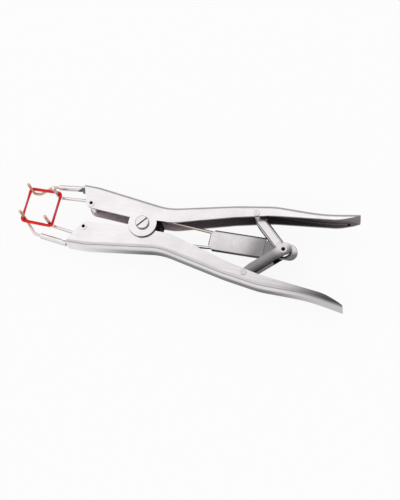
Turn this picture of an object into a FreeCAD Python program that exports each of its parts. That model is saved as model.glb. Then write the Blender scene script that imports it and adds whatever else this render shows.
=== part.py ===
"""Elastrator pliers: a hand tool that stretches a rubber ring over four prongs.

Frame, in millimetres: the pivot axis is Z, with the origin on it at half the
width of the handles. X runs along the tool, prongs at -X and grips at +X.
Y points to the upper handle. The prongs stand up along +Z.
"""
import FreeCAD, Part
import math
import os
import Sketcher

V = FreeCAD.Vector
doc = FreeCAD.newDocument("elastrator_pliers")
dims = doc.addObject("Spreadsheet::Sheet", "dims")

SIZES = (
    ("wall", 1.5), ("nest_gap", 0.3), ("link_gap", 0.24), ("upper_width", 16.0),
    ("front_reach", 46.9), ("jaw_height", 20.9), ("jaw_taper", 10.9),
    ("waist_back", 15.0), ("waist_height", 13.9),
    ("grip_start", 60.0), ("grip_height", 24.0),
    ("swell_reach", 25.0), ("swell_rise", 4.2),
    ("handle_reach", 141.0), ("tail_length", 23.0), ("tail_rise", 4.1),
    ("tail_depth", 1.3), ("tip_length", 4.5), ("tip_depth", 3.5),
    ("edge_back", 13.0),
    ("jaw_edge", 4.6), ("jaw_rake", 5.7), ("lobe_radius", 9.6),
    ("lobe_edge", 2.6), ("neck_reach", 20.0), ("neck_edge", 3.8),
    ("grip_depth", 8.8), ("palm_reach", 24.0), ("palm_depth", 7.4),
    ("end_depth", 4.5), ("bend_radius", 2.4),
    ("lower_lead", 2.9), ("lower_swell", 1.2), ("lower_relief", 0.6),
    ("lower_rake", 9.0), ("lower_guide_back", 1.3), ("lower_guide_lift", 1.4),
    ("running_fit", 0.05), ("side_gap", 0.2),
    ("screw_radius", 2.5), ("screw_head_radius", 4.6),
    ("screw_head_height", 1.8), ("slot_width", 1.0), ("slot_depth", 0.9),
    ("nut_flats", 8.0), ("nut_height", 3.2), ("screw_end", 0.6),
    ("washer_radius", 5.2), ("washer_height", 0.6), ("bush_radius", 4.0),
    ("guide_inset", 8.4), ("guide_height", 7.7), ("guide_radius", 2.05),
    ("guide_bore", 1.1), ("flare_radius", 2.45), ("flare_height", 0.4),
    ("link_back", 74.0), ("link_drop", 5.602), ("link_pin_radius", 1.3),
    ("pin_head_radius", 2.2), ("pin_head_height", 0.8),
    ("link_end", 2.7), ("link_taper", 6.0),
    ("link_wall", 1.0), ("link_breadth", 7.2), ("link_bend", 1.7),
    ("link_opening", 10.0), ("spacer_radius", 2.2),
    ("knuckle_reach", 96.0), ("knuckle_lug", 3.9), ("lug_lead", 1.9),
    ("inner_lug", 4.7),
    ("knuckle_radius", 1.9), ("knuckle_bore", 1.1), ("toggle_play", 0.7),
    ("shim_gap", 0.1),
    ("slider_front", 46.0), ("slider_length", 37.0),
    ("slider_tilt", 0.02),
    ("slider_height", 14.0), ("tail_thickness", 2.6),
    ("slider_wall", 0.7), ("slider_bevel", 3.0),
    ("tail_overlap", 22.0), ("tail_breadth", 10.4), ("nose_offset", 4.0),
    ("nose_radius", 5.2), ("tail_hole", 0.8), ("hole_inset", 7.3),
    ("hole_depth", 1.9),
    ("tail_rivet_radius", 1.3),
    ("rod_radius", 1.05), ("rod_pin_back", 6.0), ("rod_pin_height", 3.9),
    ("rod_pin_radius", 0.9), ("eye_radius", 1.8), ("eye_thickness", 2.2),
    ("rod_exit", 5.5),
    ("rod_clearance", 0.3), ("rod_overrun", 7.0),
    ("ring_half", 10.0), ("inner_spread", 0.5),
    ("outer_overhang", 35.6), ("inner_overhang", 17.6),
    ("prong_top", 17.0), ("prong_bend", 3.0), ("wire_radius", 0.98),
    ("socket_radius", 2.0), ("socket_length", 19.2), ("socket_drop", 2.2),
    ("tongue_width", 7.0), ("tongue_length", 8.0), ("tongue_wall", 1.3),
    ("ring_wall", 2.0), ("ring_height", 2.3), ("ring_base", 3.2),
    ("block_length", 12.2), ("block_height", 8.6), ("block_ring", 5.4),
)

for row, (alias, value) in enumerate(SIZES, 1):
    dims.set("A%d" % row, alias)
    dims.set("B%d" % row, str(value))
    dims.setAlias("B%d" % row, alias)
doc.recompute()
D = {alias: float(dims.get(alias)) for alias, value in SIZES}

# Widths along the pivot axis. The handles are equally wide, and the lower
# one is set back by a wall and a gap, so that each holds a flange of the
# other. The links and the slider nest between them.
SET_BACK = "(dims.wall + dims.nest_gap)"
LOW_FACE = "(dims.upper_width / 2 + %s)" % SET_BACK
MIDDLE = "(dims.upper_width - 2 * dims.wall - 2 * %s)" % SET_BACK
LINK_OUTER = "(%s - 2 * dims.link_gap)" % MIDDLE
LINK_INNER = "(%s - 2 * dims.link_wall)" % LINK_OUTER
CORE_OUTER = "(%s - 2 * dims.link_gap)" % LINK_INNER
CORE_INNER = "(%s - 2 * dims.link_wall)" % CORE_OUTER
SLIDER_OUTER = "(dims.tail_thickness + 2 * dims.slider_wall)"

set_back = D["wall"] + D["nest_gap"]
middle = D["upper_width"] - 2 * D["wall"] - 2 * set_back
link_outer = middle - 2 * D["link_gap"]
link_inner = link_outer - 2 * D["link_wall"]
core_outer = link_inner - 2 * D["link_gap"]

# Distances in front of the pivot that follow the handles' front ends.
jaw_flat = D["front_reach"] - D["jaw_taper"]
guide_back = D["front_reach"] - D["guide_inset"]
outer_corner = D["front_reach"] + D["outer_overhang"]
inner_corner = D["front_reach"] + D["inner_overhang"]

# Height of the link pins, which hang below the web of the grips.
LINK_HEIGHT = ("(dims.grip_height + dims.swell_rise / dims.swell_reach"
               " * (dims.link_back - dims.grip_start) - dims.link_drop)")
grip_slope = D["swell_rise"] / D["swell_reach"]
link_height = (D["grip_height"] + grip_slope
               * (D["link_back"] - D["grip_start"]) - D["link_drop"])


def tilt(x):
    """How far the slider's middle line lies below the centre line."""
    return -D["slider_tilt"] * (D["knuckle_reach"] - x)


parts = []


def corner_points(before, point, after, radius):
    """Tangent points and mid point of the arc that rounds one corner."""
    into = V(point.x - before.x, point.y - before.y, 0).normalize()
    out = V(after.x - point.x, after.y - point.y, 0).normalize()
    turn = math.acos(max(-1.0, min(1.0, into.dot(out))))
    reach = radius * math.tan(turn / 2)
    start = point - into * reach
    end = point + out * reach
    inward = (out - into).normalize()
    middle = point + inward * (radius / math.cos(turn / 2) - radius)
    return start, middle, end


def rounded(points, radii, closed):
    """Lines and tangent arcs through the points, each with its radius."""
    count = len(points)
    starts, ends, arcs = [], [], []
    for i, point in enumerate(points):
        inner = closed or 0 < i < count - 1
        if inner and radii[i] > 0:
            a, m, b = corner_points(points[i - 1], point,
                                    points[(i + 1) % count], radii[i])
            arcs.append(Part.Arc(a, m, b))
            starts.append(a)
            ends.append(b)
        else:
            arcs.append(None)
            starts.append(point)
            ends.append(point)
    pieces = []
    for i in range(count):
        if arcs[i]:
            pieces.append(arcs[i])
        if closed or i < count - 1:
            following = starts[(i + 1) % count]
            pieces.append(Part.LineSegment(ends[i], following))
    return pieces


def fitting(points, radii, closed):
    """Radii whose arcs stay on the runs beside their corners."""
    count = len(points)
    result = []
    for i, radius in enumerate(radii):
        if radius > 0 and (closed or 0 < i < count - 1):
            into = points[i] - points[i - 1]
            out = points[(i + 1) % count] - points[i]
            turn = into.getAngle(out)
            room = 0.48 * min(into.Length, out.Length)
            radius = min(radius, room / math.tan(turn / 2))
        result.append(radius)
    return result


def inset(points, radii, distance):
    """A path parallel to an open path on its right-hand side."""
    shifted = []
    for a, b in zip(points, points[1:]):
        along = V(b.x - a.x, b.y - a.y, 0).normalize()
        side = V(along.y, -along.x, 0) * distance
        shifted.append((a + side, along))
    result = [shifted[0][0]]
    new_radii = [0.0]
    for i in range(1, len(shifted)):
        p, u = shifted[i - 1]
        q, w = shifted[i]
        cross = u.x * w.y - u.y * w.x
        step = ((q.x - p.x) * w.y - (q.y - p.y) * w.x) / cross
        result.append(p + u * step)
        new_radii.append(radii[i] + (distance if cross > 0 else -distance))
    last, along = shifted[-1]
    length = (points[-1] - points[-2]).Length
    result.append(last + along * length)
    new_radii.append(0.0)
    return result, new_radii


def body(label):
    part = doc.addObject("PartDesign::Body", label)
    part.Label = label
    parts.append(part)
    return part


def sketch(part, role, geometry, base=V(0, 0, 0), axis=V(0, 0, 1), angle=0):
    plane = [f for f in part.Origin.OriginFeatures if f.Role == role][0]
    drawing = part.newObject("Sketcher::SketchObject", part.Name + "_sketch")
    drawing.AttachmentSupport = (plane, "")
    drawing.MapMode = "FlatFace"
    drawing.AttachmentOffset = FreeCAD.Placement(
        base, FreeCAD.Rotation(axis, angle))
    for piece in geometry:
        drawing.addGeometry(piece)
    return drawing


def disc(x, y, radius):
    return Part.Circle(V(x, y, 0), V(0, 0, 1), radius)


def bind_radius(drawing, index, expression):
    """Tie a circle's radius to the sheet."""
    value = drawing.Geometry[index].Radius
    drawing.addConstraint(Sketcher.Constraint("Radius", index, value))
    drawing.setExpression("Constraints[%d]" % (drawing.ConstraintCount - 1),
                          expression)


def box(x0, y0, x1, y1):
    corners = [V(x0, y0, 0), V(x1, y0, 0), V(x1, y1, 0), V(x0, y1, 0)]
    return rounded(corners, [0, 0, 0, 0], True)


def feature(part, kind, profile, length, side="Symmetric", back=False):
    made = part.newObject(kind, part.Name + "_feature")
    made.Profile = profile
    made.SideType = side
    made.Reversed = back
    made.setExpression("Length", length)
    part.Tip = made
    return made


def pad(part, profile, length, side="Symmetric", back=False):
    return feature(part, "PartDesign::Pad", profile, length, side, back)


def pocket(part, profile, length, side="Symmetric", back=False):
    doc.recompute()
    before = part.Tip.Shape.Volume
    made = feature(part, "PartDesign::Pocket", profile, length, side, back)
    doc.recompute()
    if made.Shape.Volume >= before - 1e-6:
        raise RuntimeError("a cut in %s removes nothing" % part.Label)
    return made


def bevel_edges(part, chosen, size):
    """Chamfer the edges for which chosen(edge) holds."""
    return fillet(part, chosen, size, "PartDesign::Chamfer", "Size")


def fillet(part, chosen, radius, kind="PartDesign::Fillet", size="Radius"):
    """Round the edges for which chosen(edge) holds."""
    doc.recompute()
    base = part.Tip
    names = ["Edge%d" % (i + 1) for i, edge in enumerate(base.Shape.Edges)
             if chosen(edge)]
    if not names:
        raise RuntimeError("no edge to round in %s" % part.Label)
    made = part.newObject(kind, part.Name + "_bend")
    made.Base = (base, names)
    made.setExpression(size, radius)
    part.Tip = made
    return made


def on_path(edge, path, z, middle=0):
    """True for an edge at z above or below the middle, along a path."""
    if len(edge.Vertexes) != 2:
        return False
    ends = [p for piece in path for p in (piece.StartPoint, piece.EndPoint)]
    for vertex in edge.Vertexes:
        if abs(abs(vertex.Z - middle) - z) > 1e-4:
            return False
        if min(math.hypot(vertex.X - p.x, vertex.Y - p.y)
               for p in ends) > 1e-3:
            return False
    return abs(edge.Vertexes[0].Z - edge.Vertexes[1].Z) < 1e-4


def flip(points, side):
    return [V(p.x, p.y * side, 0) for p in points]


def handle(label, side):
    """A pressed channel: web outside, two flanges towards the middle."""
    low = side < 0
    z = -set_back if low else 0
    lead = D["lower_lead"] if low else 0
    swell = D["lower_swell"] if low else 0
    relief = D["lower_relief"] if low else 0
    rake = D["lower_rake"] if low else D["jaw_rake"]
    corner = 7 if low else 5.5
    front = D["front_reach"] + lead
    jaw = D["jaw_height"] + swell
    swell_x = D["grip_start"] + D["swell_reach"]
    swell_y = D["grip_height"] + D["swell_rise"]
    tail_x = D["handle_reach"] - D["tail_length"]
    tail_y = swell_y + D["tail_rise"]
    tail_slope = D["tail_rise"] / D["tail_length"]
    web = [V(-front, jaw, 0),
           V(-jaw_flat, jaw - 0.2, 0),
           V(D["waist_back"], D["waist_height"] + swell, 0),
           V(D["grip_start"], D["grip_height"] + 0.4 * swell, 0),
           V(swell_x, swell_y, 0),
           V(tail_x, swell_y, 0),
           V(D["handle_reach"], tail_y, 0)]
    web_radii = fitting(web, [0, 40, 40, 120, 60, 120, 0], False)
    palm_x = D["grip_start"] + D["palm_reach"]
    palm_y = (D["grip_height"] + grip_slope * D["palm_reach"]
              - D["palm_depth"])
    end_y = (swell_y + tail_slope * (D["tail_length"] - D["edge_back"])
             - D["end_depth"])
    edge = [V(D["handle_reach"], tail_y - D["tail_depth"], 0),
            V(D["handle_reach"] - D["tip_length"],
              tail_y - D["tip_depth"], 0),
            V(D["handle_reach"] - D["edge_back"], end_y, 0),
            V(palm_x, palm_y, 0),
            V(D["grip_start"], D["grip_height"] - D["grip_depth"], 0),
            V(D["neck_reach"], D["neck_edge"] - 0.5 * relief, 0),
            V(-D["lobe_radius"], D["lobe_edge"] + relief, 0),
            V(rake - front, D["jaw_edge"] + relief, 0)]
    edge_radii = [0.6, 5, 60, 60, 60, 30, 0, corner]
    radii = fitting(web + edge, web_radii + edge_radii, True)
    part = body(label)
    outline = rounded(flip(web + edge, side), radii, True)
    pad(part, sketch(part, "XY_Plane", outline, V(0, 0, z)),
        "dims.upper_width")
    outer_path = rounded(flip(web, side), web_radii, False)
    fillet(part, lambda e: on_path(e, outer_path, D["upper_width"] / 2, z),
           "dims.bend_radius")
    lobe = sketch(part, "XY_Plane", [disc(0, 0, D["lobe_radius"])],
                  V(0, 0, z))
    bind_radius(lobe, 0, "dims.lobe_radius")
    pad(part, lobe, "dims.upper_width")
    first = web[0] + (web[0] - web[1]).normalize() * 6
    last = web[-1] + (web[-1] - web[-2]).normalize() * 6
    inside, inside_radii = inset([first] + web[1:-1] + [last],
                                 web_radii, D["wall"])
    floor = -D["lobe_radius"] - 8
    outline = inside + [V(inside[-1].x, floor, 0), V(inside[0].x, floor, 0)]
    hollow = rounded(flip(outline, side), inside_radii + [0, 0], True)
    pocket(part, sketch(part, "XY_Plane", hollow, V(0, 0, z)),
           "dims.upper_width - 2 * dims.wall")
    ends = [front + 1, D["handle_reach"] + 1]
    seam = rounded(flip(inside, side), inside_radii, False)[1:-1]
    fillet(part, lambda e: on_path(e, seam, D["upper_width"] / 2
                                   - D["wall"], z)
           and -ends[0] < e.CenterOfMass.x < ends[1],
           "dims.bend_radius - dims.wall")
    guide_x, guide_y = guide_spot(side)
    holes = sketch(part, "XY_Plane", [
        disc(0, 0, D["screw_radius"] + D["running_fit"]),
        disc(guide_x, guide_y, D["guide_radius"]),
        disc(D["link_back"], side * link_height,
             D["link_pin_radius"])])
    bind_radius(holes, 0, "dims.screw_radius + dims.running_fit")
    bind_radius(holes, 1, "dims.guide_radius")
    bind_radius(holes, 2, "dims.link_pin_radius")
    pocket(part, holes, "3 * dims.upper_width")
    hang_x = D["handle_reach"] - D["hole_inset"]
    hang_y = tail_y - tail_slope * D["hole_inset"] - D["hole_depth"]
    far_flange = z + (D["wall"] - D["upper_width"]) / 2
    hang = sketch(part, "XY_Plane",
                  [disc(hang_x, side * hang_y, D["tail_hole"])],
                  V(0, 0, far_flange))
    bind_radius(hang, 0, "dims.tail_hole")
    pocket(part, hang, "2 * dims.wall")
    return part


def guide_spot(side):
    """Place of a guide pin across the jaw."""
    low = side < 0
    back = guide_back + (D["lower_guide_back"] if low else 0)
    up = D["guide_height"] + (D["lower_guide_lift"] if low else 0)
    return -back, side * up


def cylinder(name, radius, height, z, x="0", y="0"):
    """A cylinder along Z whose centre is at height z, bound to the sheet."""
    made = doc.addObject("Part::Cylinder", name)
    made.setExpression("Radius", radius)
    made.setExpression("Height", height)
    made.setExpression(".Placement.Base.x", x)
    made.setExpression(".Placement.Base.y", y)
    made.setExpression(".Placement.Base.z", "%s - %s / 2" % (z, height))
    return made


def fuse(label, shapes):
    made = doc.addObject("Part::MultiFuse", label)
    made.Shapes = shapes
    made.Label = label
    return made


def cut(label, base, tool):
    made = doc.addObject("Part::Cut", label)
    made.Base = base
    made.Tool = tool
    made.Label = label
    return made


def rivet(label, radius, length, head, head_height, bore, x="0", y="0",
          z="0"):
    """A turned pin with a head outside each end, hollow where bored."""
    place = (x, y)
    shank = cylinder(label + "_shank", radius,
                     "(%s + 2 * %s)" % (length, head_height), z, *place)
    top = "(%s / 2 + %s / 2 + 0.02)" % (length, head_height)
    heads = [cylinder(label + "_head", head, "(%s)" % head_height,
                      "(%s + %s)" % (z, top), *place),
             cylinder(label + "_foot", head, "(%s)" % head_height,
                      "(%s - %s)" % (z, top), *place)]
    name = label if bore is None else label + "_solid"
    whole = fuse(name, [shank] + heads)
    if bore is not None:
        drill = cylinder(label + "_drill", bore, "(2 * %s)" % length, "0",
                         *place)
        whole = cut(label, whole, drill)
    parts.append(whole)
    return whole


def tube(label, outer, inner, length, z, x="0", y="0"):
    barrel = cylinder(label + "_barrel", outer, length, z, x, y)
    drill = cylinder(label + "_drill", inner, "(%s + 2)" % length, z, x, y)
    made = cut(label, barrel, drill)
    parts.append(made)
    return made


def pin(label, radius, length, x="0", y="0"):
    made = cylinder(label, radius, length, "0", x, y)
    made.Label = label
    parts.append(made)
    return made


def bent_wire(label, route, radii, radius_text, radius, top):
    """A wire: flat route in the XY plane, then a bend up to the tip."""
    part = body(label)
    last = (route[-1] - route[-2]).normalize()
    flat_end = route[-1] - last * D["prong_bend"]
    flat = route[:-1] + [flat_end]
    spine = sketch(part, "XY_Plane", rounded(flat, radii, False))
    first = (route[1] - route[0]).normalize()
    heading = math.degrees(math.atan2(first.y, first.x))
    section = sketch(part, "YZ_Plane", [disc(0, 0, radius)],
                     V(route[0].y, 0, route[0].x), V(0, 1, 0), heading)
    bind_radius(section, 0, radius_text)
    pipe = part.newObject("PartDesign::AdditivePipe", label + "_run")
    pipe.Profile = section
    pipe.Spine = spine
    part.Tip = pipe
    doc.recompute()
    heading = math.degrees(math.atan2(last.y, last.x))
    bend = D["prong_bend"]
    elbow = [Part.Arc(V(0, 0, 0), V(bend * math.sin(math.pi / 4),
                                    bend * (1 - math.cos(math.pi / 4)), 0),
                      V(bend, bend, 0)),
             Part.LineSegment(V(bend, bend, 0), V(bend, top, 0))]
    rise = sketch(part, "XZ_Plane", elbow, V(flat_end.x, 0, -flat_end.y),
                  V(0, 1, 0), heading)
    round_end = sketch(part, "YZ_Plane", [disc(0, 0, radius)],
                       V(flat_end.y, 0, flat_end.x), V(0, 1, 0), heading)
    bind_radius(round_end, 0, radius_text)
    prong = part.newObject("PartDesign::AdditivePipe", label + "_prong")
    prong.Profile = round_end
    prong.Spine = rise
    part.Tip = prong
    bevel_edges(part, lambda e: abs(e.CenterOfMass.z - top) < 1e-3
                and abs(e.BoundBox.ZLength) < 1e-3, "0.4 * %s" % radius_text)
    return part


def upright(part, role, geometry, x, y, heading):
    """A sketch in a plane square to a heading in the XY plane."""
    return sketch(part, role, geometry, V(y, 0, x), V(0, 1, 0), heading)


def link(label, side, outer, outer_text, inner_text, lug, lead, hole_x,
         hole_y, hole, hole_text):
    """A folded link from a handle's pin to the knuckle."""
    reach = D["knuckle_reach"] - D["link_back"]
    length = math.hypot(reach, link_height)
    slope = math.degrees(math.atan2(-side * link_height, reach))
    half = D["link_breadth"] / 2
    part = body(label)
    taper = D["link_taper"]
    pad(part, sketch(part, "XY_Plane", box(taper, -half, length, half)),
        outer_text)
    fillet(part, lambda e: abs(e.CenterOfMass.y - side * half) < 1e-3
           and abs(abs(e.CenterOfMass.z) - outer / 2) < 1e-3,
           "dims.link_bend")
    end = D["link_end"]
    ramp = [V(0, -end, 0), V(taper, -half, 0), V(taper, half, 0),
            V(0, end, 0)]
    pad(part, sketch(part, "XY_Plane", rounded(ramp, [0] * 4, True)),
        outer_text)
    near = sketch(part, "XY_Plane", [disc(0, 0, end)])
    bind_radius(near, 0, "dims.link_end")
    pad(part, near, outer_text)
    far = sketch(part, "XY_Plane", [disc(length + lead, 0, D[lug])])
    bind_radius(far, 0, "dims." + lug)
    pad(part, far, outer_text)
    web = half - D["link_wall"]
    deep = [-40, web] if side > 0 else [-web, 40]
    pocket(part, sketch(part, "XY_Plane",
                        box(-30, deep[0], length + 30, deep[1])),
           inner_text)
    mouth = length - D["link_opening"]
    pocket(part, sketch(part, "XY_Plane", box(mouth, -40, length + 30, 40)),
           inner_text)
    pocket(part, sketch(part, "XY_Plane", box(-30, -40, taper, 40)),
           inner_text)
    turn = math.radians(-slope)
    along = hole_x * math.cos(turn) - hole_y * math.sin(turn)
    across = hole_x * math.sin(turn) + hole_y * math.cos(turn)
    holes = sketch(part, "XY_Plane", [
        disc(0, 0, D["link_pin_radius"] + D["running_fit"]),
        disc(length + along, across, hole)])
    bind_radius(holes, 0, "dims.link_pin_radius + dims.running_fit")
    bind_radius(holes, 1, hole_text)
    pocket(part, holes, "2 * dims.upper_width")
    part.Placement.Rotation = FreeCAD.Rotation(V(0, 0, 1), slope)
    part.setExpression(".Placement.Base.x", "dims.link_back")
    part.setExpression(".Placement.Base.y",
                       "%d * %s" % (side, LINK_HEIGHT))
    return part


# Handles: each has one flange inside and one outside the other's.
handle("upper_handle", 1)
handle("lower_handle", -1)

# Pivot: slotted screw, bush, washer and nut.
head_seat = "(dims.upper_width / 2 + 0.1)"
nut_seat = "(0 - %s - 0.1 - dims.washer_height - 0.02)" % LOW_FACE
shank_low = "(%s - dims.nut_height - dims.screw_end)" % nut_seat
shank = cylinder("screw_shank", "dims.screw_radius",
                 "(%s - %s)" % (head_seat, shank_low),
                 "(%s / 2 + %s / 2)" % (head_seat, shank_low))
screw_head = cylinder("screw_head", "dims.screw_head_radius",
                      "dims.screw_head_height",
                      "(%s + dims.screw_head_height / 2)" % head_seat)
screw_blank = fuse("screw_blank", [shank, screw_head])
doc.recompute()
rim_z = D["upper_width"] / 2 + 0.1 + D["screw_head_height"]
crown = doc.addObject("Part::Chamfer", "screw_crown")
crown.Base = screw_blank
crown.Edges = [(i + 1, 0.4, 0.4)
               for i, e in enumerate(screw_blank.Shape.Edges)
               if abs(e.CenterOfMass.z - rim_z) < 1e-4]
slot = doc.addObject("Part::Box", "screw_slot")
slot.setExpression("Length", "3 * dims.screw_head_radius")
slot.setExpression("Width", "dims.slot_width")
slot.setExpression("Height", "2 * dims.slot_depth")
slot_turn = math.radians(52)
slot.Placement.Rotation = FreeCAD.Rotation(V(0, 0, 1), 52)
slot.Placement.Base = V(
    -1.5 * D["screw_head_radius"] * math.cos(slot_turn)
    + D["slot_width"] / 2 * math.sin(slot_turn),
    -1.5 * D["screw_head_radius"] * math.sin(slot_turn)
    - D["slot_width"] / 2 * math.cos(slot_turn), 0)
slot.setExpression(".Placement.Base.z",
                   "%s + dims.screw_head_height - dims.slot_depth"
                   % head_seat)
parts.append(cut("pivot_screw", crown, slot))

nut = body("pivot_nut")
flat = D["nut_flats"] / 2 / math.cos(math.pi / 6)
hexagon = [V(flat * math.cos(k * math.pi / 3), flat * math.sin(
    k * math.pi / 3), 0) for k in range(6)]
nut_top = (-D["upper_width"] / 2 - set_back - 0.1 - D["washer_height"]
           - 0.02)
pad(nut, sketch(nut, "XY_Plane", rounded(hexagon, [0] * 6, True),
                V(0, 0, nut_top)), "dims.nut_height", "One side", True)
bore = sketch(nut, "XY_Plane",
              [disc(0, 0, D["screw_radius"] + D["running_fit"])])
bind_radius(bore, 0, "dims.screw_radius + dims.running_fit")
pocket(nut, bore, "5 * dims.upper_width")

tube("pivot_washer", "dims.washer_radius",
     "(dims.screw_radius + dims.running_fit)", "dims.washer_height",
     "(0 - %s - 0.1 - dims.washer_height / 2)" % LOW_FACE)
tube("pivot_bush", "dims.bush_radius",
     "(dims.screw_radius + dims.running_fit)",
     "(%s + %s - 2 * dims.side_gap)" % (MIDDLE, SET_BACK),
     "(0 - %s / 2)" % SET_BACK)

# Rod guide block: a ring round the bush and a block behind it.
block = body("rod_guide_block")
block_text = "%s + %s - 2 * dims.nest_gap" % (MIDDLE, SET_BACK)
block_base = V(0, 0, -set_back / 2)
half = D["block_height"] / 2
back = D["block_length"]
shape = [V(0, -half, 0), V(back, -half, 0), V(back, half, 0), V(0, half, 0)]
pad(block, sketch(block, "XY_Plane",
                  rounded(shape, [0, 1.2, 1.2, 0], True), block_base),
    block_text)
hub = sketch(block, "XY_Plane", [disc(0, 0, D["block_ring"])], block_base)
bind_radius(hub, 0, "dims.block_ring")
pad(block, hub, block_text)
seat = sketch(block, "XY_Plane",
              [disc(0, 0, D["bush_radius"] + D["running_fit"])])
bind_radius(seat, 0, "dims.bush_radius + dims.running_fit")
pocket(block, seat, "2 * dims.upper_width")

# Guide pins: tubular rivets across the jaws, inside the rods' path.
for name, side, z, x, y in (
        ("upper", 1, "0", "(dims.guide_inset - dims.front_reach)",
         "dims.guide_height"),
        ("lower", -1, "(0 - %s)" % SET_BACK,
         "(dims.guide_inset - dims.front_reach - dims.lower_guide_back)",
         "(0 - dims.guide_height - dims.lower_guide_lift)")):
    rivet(name + "_guide_pin", "dims.guide_radius", "dims.upper_width",
          "dims.flare_radius", "dims.flare_height", "dims.guide_bore",
          x, y, z)
    rivet(name + "_link_pin", "dims.link_pin_radius", "dims.upper_width",
          "dims.pin_head_radius", "dims.pin_head_height", None,
          "dims.link_back", "%d * %s" % (side, LINK_HEIGHT), z)

# Spacers that centre the inner link between the upper handle's flanges.
SPACE = "(dims.upper_width / 2 - dims.wall - %s / 2 - dims.side_gap)" % (
    CORE_OUTER)
for name, sign in (("near", 1), ("far", -1)):
    tube("upper_spacer_" + name, "dims.spacer_radius",
         "(dims.link_pin_radius + dims.running_fit)", SPACE,
         "(%d * (%s / 2 + dims.side_gap / 2 + %s / 2))" % (
             sign, CORE_OUTER, SPACE),
         "dims.link_back", LINK_HEIGHT)

FAR_SPACE = "(2 * %s + dims.link_gap - 2 * dims.side_gap)" % SET_BACK
tube("lower_spacer", "dims.spacer_radius",
     "(dims.link_pin_radius + dims.running_fit)", FAR_SPACE,
     "(0 - %s / 2 - dims.side_gap - %s / 2)" % (LINK_OUTER, FAR_SPACE),
     "dims.link_back", "0 - %s" % LINK_HEIGHT)

# Toggle links and the knuckle. The inner link and the slider's eye
# have room for the pin.
play = D["toggle_play"]
eye = D["knuckle_radius"] + D["running_fit"] + play
EYE = "dims.knuckle_radius + dims.running_fit + dims.toggle_play"
link("upper_link", 1, core_outer, CORE_OUTER, CORE_INNER, "inner_lug",
     0, 0, -0.88 * play, eye, EYE)
link("lower_link", -1, link_outer, LINK_OUTER, LINK_INNER, "knuckle_lug",
     D["lug_lead"], 0, 0, D["knuckle_radius"], "dims.knuckle_radius")
rivet("knuckle_rivet", "dims.knuckle_radius", LINK_OUTER,
      "dims.flare_radius", "dims.flare_height", "dims.knuckle_bore",
      "dims.knuckle_reach")
SHIM = "(%s / 2 - dims.tail_thickness / 2 - 2 * dims.shim_gap)" % CORE_INNER
for name, sign in (("near", 1), ("far", -1)):
    tube("knuckle_shim_" + name, "dims.inner_lug - 1.2",
         "(dims.knuckle_radius + 0.01)", SHIM,
         "(%d * (%s + dims.tail_thickness) / 4)" % (sign, CORE_INNER),
         "dims.knuckle_reach")

# Slider: a folded box with a riveted tail plate whose eye takes the knuckle.
box_half = D["slider_height"] / 2
front = D["slider_front"]
rear = front + D["slider_length"]
bevel = D["slider_bevel"]
shape = [V(x, y + tilt(x), 0) for x, y in (
    (front, -box_half + bevel), (front + bevel, -box_half),
    (rear, -box_half), (rear, box_half),
    (front + bevel, box_half), (front, box_half - bevel))]
slider = body("slider_box")
pad(slider, sketch(slider, "XY_Plane", rounded(shape, [0] * 6, True)),
    SLIDER_OUTER)
fillet(slider, lambda e: abs(e.CenterOfMass.y - tilt(e.CenterOfMass.x))
       > box_half - 0.1 and abs(e.CenterOfMass.z) > D["tail_thickness"] / 2
       and e.BoundBox.XLength > 5, "0.8 * dims.slider_wall")
inner_half = box_half - D["slider_wall"]
cavity = [V(x, y + tilt(x), 0) for x, y in (
    (front - 5, -inner_half), (rear + 5, -inner_half),
    (rear + 5, inner_half), (front - 5, inner_half))]
pocket(slider, sketch(slider, "XY_Plane", rounded(cavity, [0] * 4, True)),
       "dims.tail_thickness")
pin_x = front + D["rod_pin_back"]
rivet_x = [rear - D["tail_overlap"] + 6, rear - 6]
spots = [(pin_x, D["rod_pin_height"], "rod_pin_radius"),
         (pin_x, -D["rod_pin_height"], "rod_pin_radius"),
         (rivet_x[0], 0, "tail_rivet_radius"),
         (rivet_x[1], 0, "tail_rivet_radius")]
holes = sketch(slider, "XY_Plane",
               [disc(x, y + tilt(x), D[r]) for x, y, r in spots])
for i, spot in enumerate(spots):
    bind_radius(holes, i, "dims." + spot[2])
pocket(slider, holes, "2 * dims.upper_width")

tail = body("slider_tail")
half = D["tail_breadth"] / 2
nose_x = D["knuckle_reach"] + D["nose_offset"]
plate_x = rear - D["tail_overlap"]
plate = [V(plate_x, tilt(plate_x) - half, 0), V(nose_x, -half, 0),
         V(nose_x, half, 0), V(plate_x, tilt(plate_x) + half, 0)]
pad(tail, sketch(tail, "XY_Plane", rounded(plate, [0] * 4, True)),
    "dims.tail_thickness")
nose = sketch(tail, "XY_Plane", [disc(nose_x, 0, D["nose_radius"])])
bind_radius(nose, 0, "dims.nose_radius")
pad(tail, nose, "dims.tail_thickness")
holes = sketch(tail, "XY_Plane", [
    disc(D["knuckle_reach"] - 0.75 * play, -0.44 * play, eye),
    disc(rivet_x[0], tilt(rivet_x[0]), D["tail_rivet_radius"]),
    disc(rivet_x[1], tilt(rivet_x[1]), D["tail_rivet_radius"])])
bind_radius(holes, 0, EYE)
bind_radius(holes, 1, "dims.tail_rivet_radius")
bind_radius(holes, 2, "dims.tail_rivet_radius")
pocket(tail, holes, "2 * dims.upper_width")

REAR = "dims.slider_front + dims.slider_length"
TILT = "0 - dims.slider_tilt * (dims.knuckle_reach - (%s))"
FRONT_RIVET = REAR + " - dims.tail_overlap + 6"
pin("tail_rivet_front", "dims.tail_rivet_radius", SLIDER_OUTER,
    FRONT_RIVET, TILT % FRONT_RIVET)
pin("tail_rivet_rear", "dims.tail_rivet_radius", SLIDER_OUTER,
    REAR + " - 6", TILT % (REAR + " - 6"))

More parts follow.
